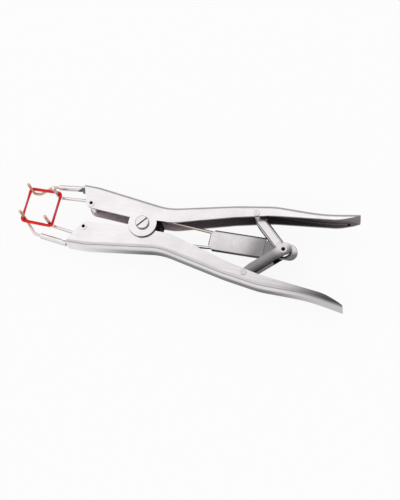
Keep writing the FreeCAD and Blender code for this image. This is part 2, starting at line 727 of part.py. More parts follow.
# Prongs: two long sliding rods and two short fixed wires, all bent up.
inner_half = D["ring_half"] + D["inner_spread"]
PIN_X = "dims.slider_front + dims.rod_pin_back"
for name, side in (("upper", 1), ("lower", -1)):
    pin_y = D["rod_pin_height"] + side * tilt(pin_x)
    pin(name + "_rod_pin", "dims.rod_pin_radius", SLIDER_OUTER, PIN_X,
        "%d * dims.rod_pin_height + (%s)" % (side, TILT % PIN_X))
    guide_x, guide_y = guide_spot(side)
    guide_pass = (side * guide_y + D["guide_radius"]
                  + D["rod_clearance"] + D["rod_radius"])
    exit_y = D["rod_exit"] + side * tilt(front)
    lean = (guide_pass - exit_y) / (front - guide_x)
    route = [V(pin_x - D["eye_radius"] * 0.6, pin_y + 0.25, 0),
             V(front + 0.3, exit_y, 0),
             V(guide_x - D["rod_overrun"],
               guide_pass + lean * D["rod_overrun"], 0),
             V(-inner_corner, inner_half, 0)]
    rod = bent_wire(name + "_inner_prong", flip(route, side),
                    [0, 6, 12, 0], "dims.rod_radius", D["rod_radius"],
                    D["prong_top"])
    ring_eye = sketch(rod, "XY_Plane", [
        disc(pin_x, side * pin_y, D["eye_radius"])])
    bind_radius(ring_eye, 0, "dims.eye_radius")
    pad(rod, ring_eye, "dims.eye_thickness")
    drill = sketch(rod, "XY_Plane", [
        disc(pin_x, side * pin_y,
             D["rod_pin_radius"] + D["running_fit"])])
    bind_radius(drill, 0, "dims.rod_pin_radius + dims.running_fit")
    pocket(rod, drill, "2 * dims.upper_width")

    nose_end = -D["front_reach"] - (D["lower_lead"] if side < 0 else 0)
    jaw = D["jaw_height"] + (D["lower_swell"] if side < 0 else 0)
    socket_start = V(nose_end - 0.3, jaw - 0.8, 0)
    run = math.sqrt(D["socket_length"] ** 2 - D["socket_drop"] ** 2)
    aim = V(-run, -D["socket_drop"], 0).normalize()
    socket_end = socket_start + aim * D["socket_length"]
    heading = math.degrees(math.atan2(side * aim.y, aim.x))
    socket = body(name + "_prong_socket")
    profile = upright(socket, "YZ_Plane", [
        disc(0, 0, D["socket_radius"])],
        socket_start.x, side * socket_start.y, heading)
    bind_radius(profile, 0, "dims.socket_radius")
    pad(socket, profile, "dims.socket_length", "One side")
    under = jaw - D["wall"] - 0.22
    tongue = [V(nose_end - 3, under - D["tongue_wall"], 0),
              V(nose_end + D["tongue_length"],
                under - D["tongue_wall"], 0),
              V(nose_end + D["tongue_length"], under, 0),
              V(nose_end - 3, under, 0)]
    pad(socket, sketch(socket, "XY_Plane",
                       rounded(flip(tongue, side), [0] * 4, True)),
        "dims.tongue_width")
    start = socket_start - aim * 0.6
    drill = upright(socket, "YZ_Plane", [
        disc(0, 0, D["wire_radius"] + 0.03)],
        start.x, side * start.y, heading)
    bind_radius(drill, 0, "dims.wire_radius + 0.03")
    pocket(socket, drill, "dims.socket_length + 8", "One side", True)

    inside = socket_start + aim * 1.0
    route = [inside, socket_end + aim * 5.0,
             V(-outer_corner + 4.4, D["ring_half"] + 0.9, 0),
             V(-outer_corner, D["ring_half"], 0)]
    bends = [0, 4, 2.5, 0]
    if side < 0:
        del route[2], bends[2]
    bent_wire(name + "_outer_prong", flip(route, side), bends,
              "dims.wire_radius", D["wire_radius"], D["prong_top"])

# Rubber ring, stretched round the four prongs.
ring = body("rubber_ring")
grip = D["rod_radius"] + 0.03
spread = [V(-outer_corner, -D["ring_half"], 0),
          V(-inner_corner, -inner_half, 0),
          V(-inner_corner, inner_half, 0),
          V(-outer_corner, D["ring_half"], 0)]
signs = [(-1, -1), (1, -1), (1, 1), (-1, 1)]


def loop(distance):
    corners = [V(p.x + sx * distance, p.y + sy * distance, 0)
               for p, (sx, sy) in zip(spread, signs)]
    return rounded(corners, [distance * 0.98] * 4, True)


height_text = "dims.ring_height"
pad(ring, sketch(ring, "XY_Plane", loop(grip + D["ring_wall"]),
                 V(0, 0, D["ring_base"])), height_text, "One side")
pocket(ring, sketch(ring, "XY_Plane", loop(grip), V(0, 0, D["ring_base"])),
       height_text, "One side", True)

doc.recompute()
for item in doc.Objects:
    if "Invalid" in item.State or "Error" in item.State:
        raise RuntimeError("%s did not build" % item.Label)
for part in parts:
    shape = part.Shape
    if shape.isNull() or not shape.isValid() or not shape.Solids:
        raise RuntimeError("%s has no valid solid" % part.Label)
os.makedirs("parts", exist_ok=True)
for part in parts:
    part.Shape.exportStep(os.path.join("parts", part.Label + ".step"))
    print(part.Label, len(part.Shape.Solids), round(part.Shape.Volume, 2))
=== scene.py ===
import math
from functools import partial

import bpy
import numpy as np
from bpy.props import FloatProperty, FloatVectorProperty, PointerProperty
from mathutils import Matrix, Vector


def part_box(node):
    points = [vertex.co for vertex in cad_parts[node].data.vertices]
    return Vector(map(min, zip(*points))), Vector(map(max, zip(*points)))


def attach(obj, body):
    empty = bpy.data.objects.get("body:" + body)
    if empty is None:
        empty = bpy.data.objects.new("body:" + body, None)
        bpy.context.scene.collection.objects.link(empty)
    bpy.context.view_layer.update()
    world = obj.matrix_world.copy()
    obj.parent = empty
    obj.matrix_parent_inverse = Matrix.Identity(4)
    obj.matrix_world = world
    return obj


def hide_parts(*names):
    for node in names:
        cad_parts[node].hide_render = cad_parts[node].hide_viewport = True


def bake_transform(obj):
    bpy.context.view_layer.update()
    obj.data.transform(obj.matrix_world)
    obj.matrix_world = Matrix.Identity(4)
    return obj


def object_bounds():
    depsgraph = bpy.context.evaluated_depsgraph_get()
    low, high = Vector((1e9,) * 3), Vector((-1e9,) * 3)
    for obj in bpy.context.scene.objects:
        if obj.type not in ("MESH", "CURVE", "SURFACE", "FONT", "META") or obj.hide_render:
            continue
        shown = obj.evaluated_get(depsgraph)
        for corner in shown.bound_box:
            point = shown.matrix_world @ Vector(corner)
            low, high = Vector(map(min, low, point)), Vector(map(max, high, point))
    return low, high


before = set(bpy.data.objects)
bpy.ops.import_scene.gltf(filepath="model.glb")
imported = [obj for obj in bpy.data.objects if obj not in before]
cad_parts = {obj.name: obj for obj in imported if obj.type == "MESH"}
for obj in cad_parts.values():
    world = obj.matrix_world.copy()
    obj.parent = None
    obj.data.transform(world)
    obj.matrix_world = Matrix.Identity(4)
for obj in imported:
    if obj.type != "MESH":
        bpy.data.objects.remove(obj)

bl_info = {
    "name": "Elastrator pliers",
    "version": (1, 0, 0),
    "blender": (4, 5, 0),
    "location": "View3D > Sidebar > Pliers",
    "description": "Dresses ring pliers: plated channels, wires and ring",
    "category": "Object",
}

CAD_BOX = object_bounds()
RING_LOW, RING_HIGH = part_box("rubber_ring")
SIDES = (("upper", 1), ("lower", -1))

# Places and sizes on the CAD, in metres. A drop is measured down from the
# middle of a handle's channel.
CHANNEL_MIDDLE = {"upper": 0.0, "lower": -0.0018}
HANG_HOLE = (0.1337, 0.0291)
# The hang hole: below a drop, painted shade fills its bore and a ring round it, and a dish
# floor closes the hole inside that painted shade.
HOLE_RADIUS, HOLE_SHADE_REACH, HOLE_SHADE_DROP = 0.00085, 0.0006, 0.0063
SHADE_FLOOR_RADIUS, SHADE_FLOOR_DEPTH, SHADE_FLOOR_DROP = 0.00082, 0.0005, 0.0078
SLIDER_EYE = Vector((0.096, 0.0, 0.0))
LINK_PIN = (0.074, 0.02075)
PIN_BORE = 0.00112

# The screw's slot, turned from the handles' length.
SLOT_TURN = math.radians(52.0)

# Finishes: what the painted shade inside a channel and in bores changes,
# how far rubber and plastic vary, where the stretched ring is pale, and
# rolling streaks.
INSIDE_ROUGHNESS = 0.22
INSIDE_DULLNESS = 0.8
BORE_SHADE_ROUGHNESS = 0.7
MOTTLE = 0.18
ROUGHNESS_SWING = 0.08
PALE_FULL, PALE_END = 0.0012, 0.0084
DRAWN = (40, 1500, 1500)
TURNED = (700, 700, 700)

# The ring's runs: the bend between them, how far the front goes on past
# the corner, where the side run and the rear run's leg begin, how thin
# the middles are, how much thinner the lapped runs are, and the spacing
# of rows in bends and on the straight.
RING_TURN = 0.0021
FRONT_HOOK = 0.004
SIDE_START = 0.0025
LEG_START = 0.003
FRONT_WAIST, REAR_WAIST = 0.7, 0.85
SIDE_SHARE, REAR_SHARE = 0.98, 0.9
BEND_STEP, RUN_STEP = 0.0003, 0.0005

# Stage: half the floor, its glow, lamps by place, size and power, camera.
FLOOR_REACH = 3.0
FLOOR_GLOW = 0.90
LAMPS = (("key", (-0.80, 0.55, 1.30), 1.1, 1.6),
         ("tail", (0.045, 0.61, 1.30), 0.3, 0.2),
         ("fill", (0.90, -0.80, 0.90), 0.9, 1.0))
LAMP_TARGET = Vector((0.02, 0, 0))
SENSOR_WIDTH, FOCAL_LENGTH = 36.0, 75.76
CAMERA_PLACE = (0.18591, -0.23522, 0.64645)
CAMERA_RIGHT = (0.9632, 0.23282, -0.13431)
CAMERA_UP = (-0.17162, 0.9173, 0.35932)


def colour(name, value, text):
    return FloatVectorProperty(name=name, description=text, default=value,
                               subtype="COLOR", min=0.0, max=1.0)


def length(name, value, text):
    return FloatProperty(name=name, description=text, default=value,
                         unit="LENGTH")


class PlierSizes(bpy.types.PropertyGroup):
    ring_wall: length("Ring wall", 0.0021, "Thickness of the ring's rubber")
    ring_height: length("Ring height", 0.0023, "Height of the ring's band")
    ring_side: length("Side run", 0.0140, "Length of a side run")
    ring_leg: length("Rear leg", 0.0104, "Length of a rear run's leg")
    ring_lean: length("Ring lean", 0.0005, "The ring's front is narrower")
    floor_drop: length("Floor drop", 0.0002, "Gap between floor and tool")


class PlierColours(bpy.types.PropertyGroup):
    nickel: colour("Nickel", (0.780, 0.746, 0.756), "Plating on the handles")
    link_steel: colour("Link steel", (0.745, 0.705, 0.72), "Links, slider")
    pin_steel: colour("Pin steel", (0.68, 0.665, 0.67), "Screw, pins, nut")
    socket: colour("Sockets", (0.90, 0.87, 0.88), "Prong sockets")
    copper: colour("Copper wire", (0.84, 0.47, 0.32), "Worn prong tips")
    copper_pale: colour("Pale copper", (0.90, 0.72, 0.58), "Prong wires")
    rod_steel: colour("Rod steel", (0.78, 0.68, 0.62), "Rods at the slider")
    rod_bright: colour("Bright rod", (0.93, 0.87, 0.85), "Rods at the ring")
    block_black: colour("Guide block", (0.006, 0.006, 0.006), "Rod guide")
    ring_red: colour("Ring rubber", (0.78, 0.012, 0.008), "Rubber ring")
    ring_pale: colour("Stretched rubber", (0.64, 0.055, 0.11), "Thin runs")
    # Tint of the painted shade inside the handles' channels.
    inside: colour("Inside shade tint", (1.0, 0.86, 0.93), "Tint of the painted shade inside channels")
    tarnish: colour("Tarnish", (0.34, 0.325, 0.33), "Dull film on plating")
    # Painted shade in bores, and round the hang hole.
    grime: colour("Grime", (0.012, 0.011, 0.011), "Painted shade in bores")
    rust: colour("Rust", (0.16, 0.07, 0.035), "Stain round open bores")
    floor: colour("Floor", (0.90, 0.90, 0.90), "Floor and backdrop")


def feed(tree, value, socket):
    """Links an output to a socket, or sets the socket's own value."""
    if isinstance(value, bpy.types.NodeSocket):
        tree.links.new(value, socket)
    else:
        socket.default_value = value


def calc(tree, operation, *values):
    """The result of one Math node."""
    made = tree.nodes.new("ShaderNodeMath")
    made.operation = operation
    for value, socket in zip(values, made.inputs):
        feed(tree, value, socket)
    return made.outputs[0]


def vector(tree, operation, *values):
    """The result of one Vector Math node, a vector or a number."""
    made = tree.nodes.new("ShaderNodeVectorMath")
    made.operation = operation
    for value, socket in zip(values, made.inputs):
        feed(tree, value, socket)
    number = operation in ("LENGTH", "DISTANCE", "DOT_PRODUCT")
    return made.outputs["Value" if number else "Vector"]


def scaled(tree, tone, share):
    """A colour times a number."""
    made = tree.nodes.new("ShaderNodeVectorMath")
    made.operation = "SCALE"
    feed(tree, tone, made.inputs[0])
    feed(tree, share, made.inputs["Scale"])
    return made.outputs[0]


def ramp(tree, value, start, end, low=0.0, high=1.0, soft=False):
    """A Map Range: low at start, high at end, and held beyond them."""
    made = tree.nodes.new("ShaderNodeMapRange")
    if soft:
        made.interpolation_type = "SMOOTHSTEP"
    for key, part in (("Value", value), ("From Min", start),
                      ("From Max", end), ("To Min", low), ("To Max", high)):
        feed(tree, part, made.inputs[key])
    return made.outputs["Result"]


def darken(tree, mask, tone):
    """1 where the mask is 0, and the tone where it is 1."""
    return ramp(tree, mask, 0.0, 1.0, 1.0, tone)


def mix_values(tree, share, a, b):
    made = tree.nodes.new("ShaderNodeMix")
    made.data_type = "FLOAT"
    for number, value in ((0, share), (2, a), (3, b)):
        feed(tree, value, made.inputs[number])
    return made.outputs[0]


def mix_colours(tree, share, a, b, blend="MIX"):
    made = tree.nodes.new("ShaderNodeMix")
    made.data_type = "RGBA"
    made.blend_type = blend
    for key, value in (("Factor", share), ("A", a), ("B", b)):
        feed(tree, value, made.inputs[key])
    return made.outputs["Result"]


def noise(tree, place, scale, detail=2.0, roughness=0.5):
    made = tree.nodes.new("ShaderNodeTexNoise")
    feed(tree, place, made.inputs["Vector"])
    for key, value in (("Scale", scale), ("Detail", detail),
                       ("Roughness", roughness)):
        made.inputs[key].default_value = value
    return made.outputs["Fac"]


def bumped(tree, height, strength, distance):
    """A normal tilted by a height."""
    made = tree.nodes.new("ShaderNodeBump")
    made.inputs["Distance"].default_value = distance
    feed(tree, strength, made.inputs["Strength"])
    feed(tree, height, made.inputs["Height"])
    return made.outputs["Normal"]


def split(tree, source):
    """The X, Y and Z outputs of a vector."""
    made = tree.nodes.new("ShaderNodeSeparateXYZ")
    feed(tree, source, made.inputs[0])
    return made.outputs


def coordinates(tree):
    return tree.nodes.new("ShaderNodeTexCoord").outputs


def new_group(name, takes, gives):
    """An empty node group with its named sockets, and what comes in and
    goes out of it. A number makes a float socket, three numbers a vector
    and four a colour."""
    group = bpy.data.node_groups.new(name, "ShaderNodeTree")
    kinds = {1: "NodeSocketFloat", 3: "NodeSocketVector",
             4: "NodeSocketColor"}
    for label, value in takes.items():
        socket = group.interface.new_socket(
            name=label, in_out="INPUT", socket_type=kinds[np.size(value)])
        socket.default_value = value
    for label, size in gives.items():
        group.interface.new_socket(name=label, in_out="OUTPUT",
                                   socket_type=kinds[size])
    return (group, group.nodes.new("NodeGroupInput").outputs,
            group.nodes.new("NodeGroupOutput").inputs)


def plated_metal(name):
    """Plating: long soft rolling streaks, cloudy tarnish and small
    scratches, all read from Object coordinates."""
    group, come, go = new_group(name, {
        "Metal": (0.7, 0.7, 0.7, 1), "Tarnish": (0.3, 0.3, 0.3, 1),
        "Film": 0.3, "Low Roughness": 0.2, "High Roughness": 0.4,
        "Streak": (60, 700, 700), "Relief": 0.15,
    }, {"Color": 4, "Roughness": 1, "Normal": 3})
    place = coordinates(group)["Object"]
    cloud = noise(group, place, scale=55.0, detail=6.0, roughness=0.62)
    streak = noise(group, vector(group, "MULTIPLY", place, come["Streak"]),
                   scale=1.0, detail=4.0)
    speck = noise(group, place, scale=900.0, detail=3.0)
    film = calc(group, "MULTIPLY", come["Film"],
                ramp(group, cloud, start=0.42, end=0.72))
    dull = mix_colours(group, film, come["Metal"], come["Tarnish"])
    shade = ramp(group, streak, start=0.3, end=0.7, low=0.93, high=1.03)
    feed(group, scaled(group, dull, shade), go["Color"])
    rough = ramp(group, streak, start=0.32, end=0.68,
                 low=come["Low Roughness"], high=come["High Roughness"])
    film_roughness, speck_height = 0.35, 0.4
    feed(group, calc(group, "MULTIPLY_ADD", film, film_roughness, rough),
         go["Roughness"])
    height = calc(group, "MULTIPLY_ADD", speck, speck_height, streak)
    feed(group, bumped(group, height, come["Relief"], distance=0.00006),
         go["Normal"])
    return group


def channel_shade(name):
    """Tone of a pressed channel, all of it painted shade: its inside is
    darkened and duller, its web carries a painted dark reflection band,
    and its crease, cut edges and tail are darkened. Inside means nearer
    the middle than the flanges' inner faces and not facing outwards; the
    web is what faces outwards."""
    group, come, go = new_group(name, {
        "Outward": 1.0, "Middle": 0.0, "Half Inside": 0.0066,
        "Inside Tone": 0.2, "Front Tone": 0.5, "Front End": -0.030,
        "Front Run": 0.026, "Rear Start": 1.0, "Rear Run": 0.03,
        "Rear Tone": 0.3, "Deep Start": 0.006, "Deep Run": 0.004,
        "Deep Tone": 1.0, "Crease Tone": 0.7, "Crease At": 0.16,
        "Crease Half": 0.1, "Web Start": 0.25, "Web Full": 0.85,
        "Web Tone": 0.6, "Web Tail": 1.0, "Band Top": 0.02,
        "Band Soft": 0.002, "Band Front": -1.0, "Band Run": 0.03,
        "Tail Start": 1.0, "Tail Run": 0.01, "Tail Tone": 0.4,
        "Edge Tone": 1.0, "Edge Reach": 0.0102,
    }, {"Tone": 1, "Inside": 1})
    do = partial(calc, group)
    ease = partial(ramp, group, soft=True)
    where = coordinates(group)
    place = split(group, where["Object"])
    outward = do("MULTIPLY", split(group, where["Normal"])["Y"],
                 come["Outward"])

    # How far a face looks outwards: an inner face and a cut edge look
    # less, and flanges end and the web begins between the other two.
    inner_face, cut_face, flange_face, web_face = 0.2, -0.6, 0.5, 0.7

    def runs(start, run):
        return come[start], do("ADD", come[start], come[run])

    lift = do("ABSOLUTE", do("SUBTRACT", place["Z"], come["Middle"]))
    inside = do("MULTIPLY", do("LESS_THAN", lift, come["Half Inside"]),
                do("LESS_THAN", outward, inner_face))
    feed(group, inside, go["Inside"])

    # Painted shade on the inside: front, middle and rear tones, darker deep in the
    # channel.
    hollow = ease(place["X"], *runs("Front End", "Front Run"),
                  come["Front Tone"], come["Inside Tone"])
    rear = ease(place["X"], *runs("Rear Start", "Rear Run"), hollow,
                come["Rear Tone"])
    deep = ease(do("MULTIPLY", place["Y"], come["Outward"]),
                *runs("Deep Start", "Deep Run"), 1.0, come["Deep Tone"])

    # The web: a painted dark reflection band along its lower half, between front and tail.
    web = ease(outward, come["Web Start"], come["Web Full"])
    down = ease(place["Z"],
                do("SUBTRACT", come["Band Top"], come["Band Soft"]),
                come["Band Top"], low=1.0, high=0.0)
    along = ease(place["X"], *runs("Band Front", "Band Run"))
    tail = ease(place["X"], *runs("Tail Start", "Tail Run"))
    until = do("MULTIPLY", along, do("SUBTRACT", 1.0, tail))
    banded = do("MULTIPLY", web, do("MULTIPLY", down, until))
    tone = mix_values(group, banded, 1.0, come["Web Tone"])

    # Painted shade on flanges and web towards the tail, on the channel's cut edge and
    # along the crease.
    flange = ramp(group, outward, flange_face, web_face, low=1.0, high=0.0)
    tail_flange_shade = do("MULTIPLY", flange, tail)
    radius = vector(group, "LENGTH", vector(group, "MULTIPLY",
                                            where["Object"], (1, 1, 0)))
    cut = do("MULTIPLY", do("LESS_THAN", outward, cut_face),
             do("GREATER_THAN", radius, come["Edge Reach"]))
    off = do("ABSOLUTE", do("SUBTRACT", outward, come["Crease At"]))
    for part in (darken(group, tail_flange_shade, come["Tail Tone"]),
                 darken(group, do("SUBTRACT", tail, tail_flange_shade),
                        come["Web Tail"]),
                 darken(group, cut, come["Edge Tone"]),
                 ease(off, 0.0, come["Crease Half"], come["Crease Tone"])):
        tone = do("MULTIPLY", tone, part)
    feed(group, mix_values(group, inside, tone, do("MULTIPLY", rear, deep)),
         go["Tone"])
    return group


def bore_grime(name):
    """Two masks from the distance to an upright axis: painted shade fills what
    is nearer than the radius, and a ring fades out beyond it, which takes
    the colour that the material gives it: rust round the pins' bores and
    more painted shade round the hang hole. Both stay below a height."""
    group, come, go = new_group(name, {
        "Axis": (0, 0, 0), "Radius": 0.001, "Stain": 0.0005, "Top": 1.0,
    }, {"Grime": 1, "Ring": 1})
    place = coordinates(group)["Object"]
    away = vector(group, "DISTANCE",
                  vector(group, "MULTIPLY", place, (1, 1, 0)), come["Axis"])
    below = calc(group, "LESS_THAN", split(group, place)["Z"], come["Top"])
    near = calc(group, "LESS_THAN", away, come["Radius"])
    feed(group, calc(group, "MULTIPLY", near, below), go["Grime"])
    fade = ramp(group, away, come["Radius"],
                calc(group, "ADD", come["Radius"], come["Stain"]),
                low=1.0, high=0.0, soft=True)
    feed(group, calc(group, "MULTIPLY", fade, below), go["Ring"])
    return group


def dark_line(name):
    """A soft line at a distance from an axis (Round 1) or from a plane
    (Round 0) through Center, shown only Toward one side."""
    group, come, go = new_group(name, {
        "Center": (0, 0, 0), "Across": (1, 0, 0), "Toward": (0, 0, 0),
        "Round": 0.0, "At": 0.0, "Half": 0.0003, "Tone": 0.4,
        "Start": -0.01, "Run": 0.001,
    }, {"Tone": 1})
    away = vector(group, "SUBTRACT", coordinates(group)["Object"],
                  come["Center"])
    radius = vector(group, "LENGTH",
                    vector(group, "MULTIPLY", away, (1, 1, 0)))
    across = vector(group, "DOT_PRODUCT", away, come["Across"])
    reach = mix_values(group, come["Round"], across, radius)
    gap = calc(group, "ABSOLUTE",
               calc(group, "SUBTRACT", reach, come["At"]))
    soft = ramp(group, gap, 0.0, come["Half"], low=1.0, high=0.0,
                soft=True)
    side = vector(group, "DOT_PRODUCT", away, come["Toward"])
    gate = ramp(group, side, come["Start"],
                calc(group, "ADD", come["Start"], come["Run"]), soft=True)
    mask = calc(group, "MULTIPLY", soft, gate)
    feed(group, darken(group, mask, come["Tone"]), go["Tone"])
    return group


def placed(tree, build, values):
    """A group's outputs in a material, with the material's own values. The
    group is built the first time that it is asked for."""
    name = build.__name__.replace("_", " ").capitalize()
    made = tree.nodes.new("ShaderNodeGroup")
    made.node_tree = bpy.data.node_groups.get(name) or build(name)
    for key, value in values.items():
        feed(tree, value, made.inputs[key])
    return made.outputs


def new_material(name):
    made = bpy.data.materials.new(name)
    made.use_nodes = True
    return made, made.node_tree, made.node_tree.nodes["Principled BSDF"]


def ramp_along(tree, start, way, run):
    """From 0 at start to 1 a run further along a direction: the dot
    product of the way with the Object place less the start."""
    away = vector(tree, "SUBTRACT", coordinates(tree)["Object"], start)
    dot = vector(tree, "DOT_PRODUCT", away,
                 tuple(Vector(way).normalized()))
    return ramp(tree, dot, 0.0, run, soft=True)


def metal(name, tone, film=0.3, low=0.2, high=0.36,
          streak=(60, 700, 700), relief=0.15, channel=None, bore=None,
          shadows=(), second=None, lines=(), rim=None, inside=None):
    """A metal whose colour, roughness and relief come from the groups. A
    channel gives the Channel shade values for its painted shade, and inside
    tints the painted shade inside it; a bore is x, y, radius, the reach of
    the ring round it, the colour of the painted shade that fills it, the
    ring's colour and a height that they stay below; each shadow is a painted
    shadow given as a place, a direction, a length and a tone; each line
    gives Dark line values; a round bar's sides take a tone of painted shade;
    and second fades the tone to another one along a direction."""
    made, tree, shader = new_material(name)
    tarnish = bpy.context.scene.plier_colours.tarnish
    plain = (*tone, 1)
    if second:
        plain = mix_colours(tree, ramp_along(tree, *second[:3]), plain,
                            (*second[3], 1))
    plating = placed(tree, plated_metal, {
        "Metal": plain, "Tarnish": (*tarnish, 1), "Film": film,
        "Low Roughness": low, "High Roughness": high, "Streak": streak,
        "Relief": relief})
    tint, rough, metallic = plating["Color"], plating["Roughness"], 1.0
    if channel:
        shade = placed(tree, channel_shade, channel)
        tint = scaled(tree, tint, shade["Tone"])
        rough = calc(tree, "MULTIPLY_ADD", shade["Inside"],
                     INSIDE_ROUGHNESS, rough)
        metallic = calc(tree, "MULTIPLY_ADD", shade["Inside"],
                        -INSIDE_DULLNESS, 1.0)
        # The painted shade inside the channel takes a tint.
        if inside:
            tint = mix_colours(tree, shade["Inside"], tint, (*inside, 1),
                               "MULTIPLY")
    for *place, dark in shadows:
        mask = ramp_along(tree, *place)
        tint = scaled(tree, tint, darken(tree, mask, dark))
    for values in lines:
        tint = scaled(tree, tint, placed(tree, dark_line, values)["Tone"])
    if rim is not None:
        # Painted shade: the sides of a round bar, where its normal is near level, darken
        # to the given tone.
        facing = split(tree, coordinates(tree)["Normal"])
        sides = ramp(tree, calc(tree, "ABSOLUTE", facing["Z"]), start=0.3,
                     end=0.8, low=rim, soft=True)
        tint = scaled(tree, tint, sides)
    if bore:
        # Painted shade fills the bore, and the ring round it takes the given ring colour:
        # rust round the pins' bores and painted shade round the hang hole.
        x, y, radius, ring_reach, grime, rust, top = bore
        mask = placed(tree, bore_grime, {"Axis": (x, y, 0), "Top": top,
                                         "Radius": radius, "Stain": ring_reach})
        tint = mix_colours(tree, mask["Ring"], tint, (*rust, 1))
        tint = mix_colours(tree, mask["Grime"], tint, (*grime, 1))
        metallic = calc(tree, "SUBTRACT", metallic, mask["Grime"])
        metallic.node.use_clamp = True
        rough = mix_values(tree, mask["Grime"], rough, BORE_SHADE_ROUGHNESS)
    for key, value in (("Base Color", tint), ("Roughness", rough),
                       ("Metallic", metallic),
                       ("Normal", plating["Normal"])):
        feed(tree, value, shader.inputs[key])
    return made


def soft_material(name, tone, roughness, grain, relief, shine,
                  pale=None):
    """Rubber or plastic: a fine grain on a slightly mottled colour. A pale
    tone shows round the middle line, where a ring is stretched thin."""
    made, tree, shader = new_material(name)
    shader.inputs["Specular IOR Level"].default_value = shine
    place = coordinates(tree)["Object"]
    fine = noise(tree, place, grain, detail=5.0)
    mottled = noise(tree, place, scale=180.0)
    darker = (*[c * (1 - MOTTLE) for c in tone], 1)
    lighter = (*[min(1, c * (1 + MOTTLE)) for c in tone], 1)
    tint = mix_colours(tree, mottled, darker, lighter)
    if pale:
        off = calc(tree, "ABSOLUTE", split(tree, place)["Y"])
        thin = ramp(tree, off, PALE_FULL, PALE_END, low=1.0, high=0.0,
                    soft=True)
        tint = mix_colours(tree, thin, tint, (*pale, 1))
    feed(tree, tint, shader.inputs["Base Color"])
    rough = ramp(tree, fine, 0.0, 1.0, roughness - ROUGHNESS_SWING,
                 roughness + ROUGHNESS_SWING)
    feed(tree, rough, shader.inputs["Roughness"])
    feed(tree, bumped(tree, fine, relief, distance=0.00008),
         shader.inputs["Normal"])
    return made


def dress(names, material):
    for name in names:
        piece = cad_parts[name]
        piece.data.materials.clear()
        piece.data.materials.append(material)


def new_piece(name, points, faces):
    mesh = bpy.data.meshes.new(name)
    mesh.from_pydata(points, [], faces)
    mesh.update()
    piece = bpy.data.objects.new(name, mesh)
    bpy.context.scene.collection.objects.link(piece)
    return piece


def closed_skin(name, points, angle=50.0):
    """A smooth skin over a grid of points, rows along the path and columns
    round the section, with a flat cap on each end."""
    rows, columns, _ = points.shape
    index = np.arange(rows * columns).reshape(rows, columns)
    wide = np.roll(index, -1, axis=1)
    quads = np.stack([index[:-1], wide[:-1], wide[1:], index[1:]],
                     axis=-1).reshape(-1, 4)
    caps = [index[0][::-1].tolist(), index[-1].tolist()]
    piece = new_piece(name, points.reshape(-1, 3).tolist(),
                      quads.tolist() + caps)
    piece.data.polygons.foreach_set(
        "use_smooth", np.ones(len(piece.data.polygons), bool))
    piece.data.set_sharp_from_angle(angle=math.radians(angle))
    return piece


def unit(way):
    return way / np.linalg.norm(way)


def rounded_path(corners, radii, step):
    """Points along straight runs joined by arcs: at a corner that turns by
    2h the arc starts r tan(h) before it, and is sampled evenly."""
    corners = np.asarray(corners, float)
    out = [corners[:1]]
    for before, point, after, radius in zip(corners, corners[1:],
                                            corners[2:], radii):
        into, away = unit(point - before), unit(after - point)
        turn = math.acos(np.clip(into @ away, -1, 1))
        start = point - into * radius * math.tan(turn / 2)
        count = max(3, int(radius * turn / step) + 1)
        angle = np.linspace(0, turn, count)[:, None]
        side = unit(away - into * (into @ away))
        out.append(start + into * radius * np.sin(angle)
                   + side * radius * (1 - np.cos(angle)))
    out.append(corners[-1:])
    line = np.concatenate(out)
    runs = [line[:1]]
    for a, b in zip(line, line[1:]):
        count = max(1, int(np.linalg.norm(b - a) / step))
        share = np.linspace(0, 1, count + 1)[1:, None]
        runs.append(a + (b - a) * share)
    return np.concatenate(runs)


def superellipse(angle, power):
    """cos and sin of the angles, each raised to a power, with its sign."""
    return [np.sign(wave) * np.abs(wave) ** power
            for wave in (np.cos(angle), np.sin(angle))]


def band(name, line, wall, height, waist=1.0):
    """A rubber band carried along a level line: its section is a
    superellipse, |x/a|^n + |z/b|^n = 1 with n = 2/power, wall across and
    height up, scaled by waist + (1 - waist) (|y|/reach)^2 near the middle
    line."""
    reach, power, sides = 0.01, 0.9, 20
    line = np.asarray(line)
    near = np.clip(np.abs(line[:, 1]) / reach, 0, 1) ** 2
    share = (waist + (1 - waist) * near)[:, None, None]
    ahead = np.gradient(line, axis=0)
    ahead /= np.linalg.norm(ahead, axis=1)[:, None]
    side = np.stack([ahead[:, 1], -ahead[:, 0], 0 * ahead[:, 0]], axis=1)
    across, up = superellipse(
        np.linspace(0, 2 * np.pi, sides, endpoint=False), power)
    return closed_skin(name, (
        line[:, None, :]
        + share * side[:, None, :] * (across * wall / 2)[None, :, None]
        + np.array([0, 0, 1.0]) * (up * height / 2)[None, :, None] * share))


def dish(name, x, y, z, radius, depth):
    """A dish floor to close a hole from below, where it takes painted shade:
    rings of radius r s, each lifted by depth s^4, closed below by a flat
    ring of the same width."""
    sides, below = 24, -0.0001
    rings = np.linspace(0.02, 1, 7)
    share = np.concatenate([rings, [0.98, 0.5, 0.02]])
    lift = np.concatenate([depth * rings ** 4, [below] * 3])
    angle = np.linspace(0, 2 * np.pi, sides, endpoint=False)
    return closed_skin(name, np.stack([
        x + radius * share[:, None] * np.cos(angle),
        y + radius * share[:, None] * np.sin(angle),
        z + lift[:, None] + 0 * angle], axis=-1))


def left_of(way):
    return Vector((-way.y, way.x, 0))


